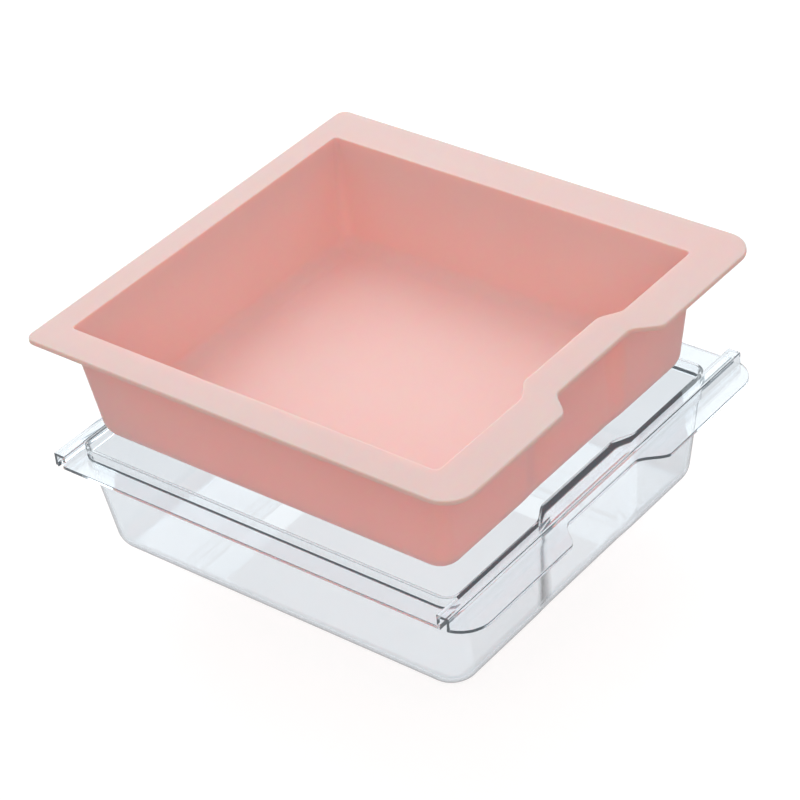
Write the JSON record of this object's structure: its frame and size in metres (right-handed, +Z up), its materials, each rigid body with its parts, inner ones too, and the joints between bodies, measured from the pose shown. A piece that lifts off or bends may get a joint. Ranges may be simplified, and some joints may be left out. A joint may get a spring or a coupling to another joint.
{
  "type": "soap slab mould",
  "caption": "Wide-flanged soft liner with a deep square cavity, over a rigid clear tray that it seats in; a grip notch in one side.",
  "frame": {"origin": "centre of the object's plan, on the surface that the tray stands on", "axes": "+Z up; +X towards the side with the grip notch; +Y towards the back, the side with the wider flange"},
  "size_m": [0.25, 0.238, 0.1301],
  "materials": {
    "silicone": "matte moulded silicone",
    "clear_plastic": "clear glossy moulded plastic"
  },
  "bodies": {
    "tray": {"clear_tray": "clear_plastic"},
    "liner": {"silicone_liner": "silicone"}
  },
  "joints": [
    {"name": "liner_lift", "type": "slide", "parent": "tray", "child": "liner", "axis": [0, 0, 1], "range_m": [-0.064, 0.06]}
  ]
}
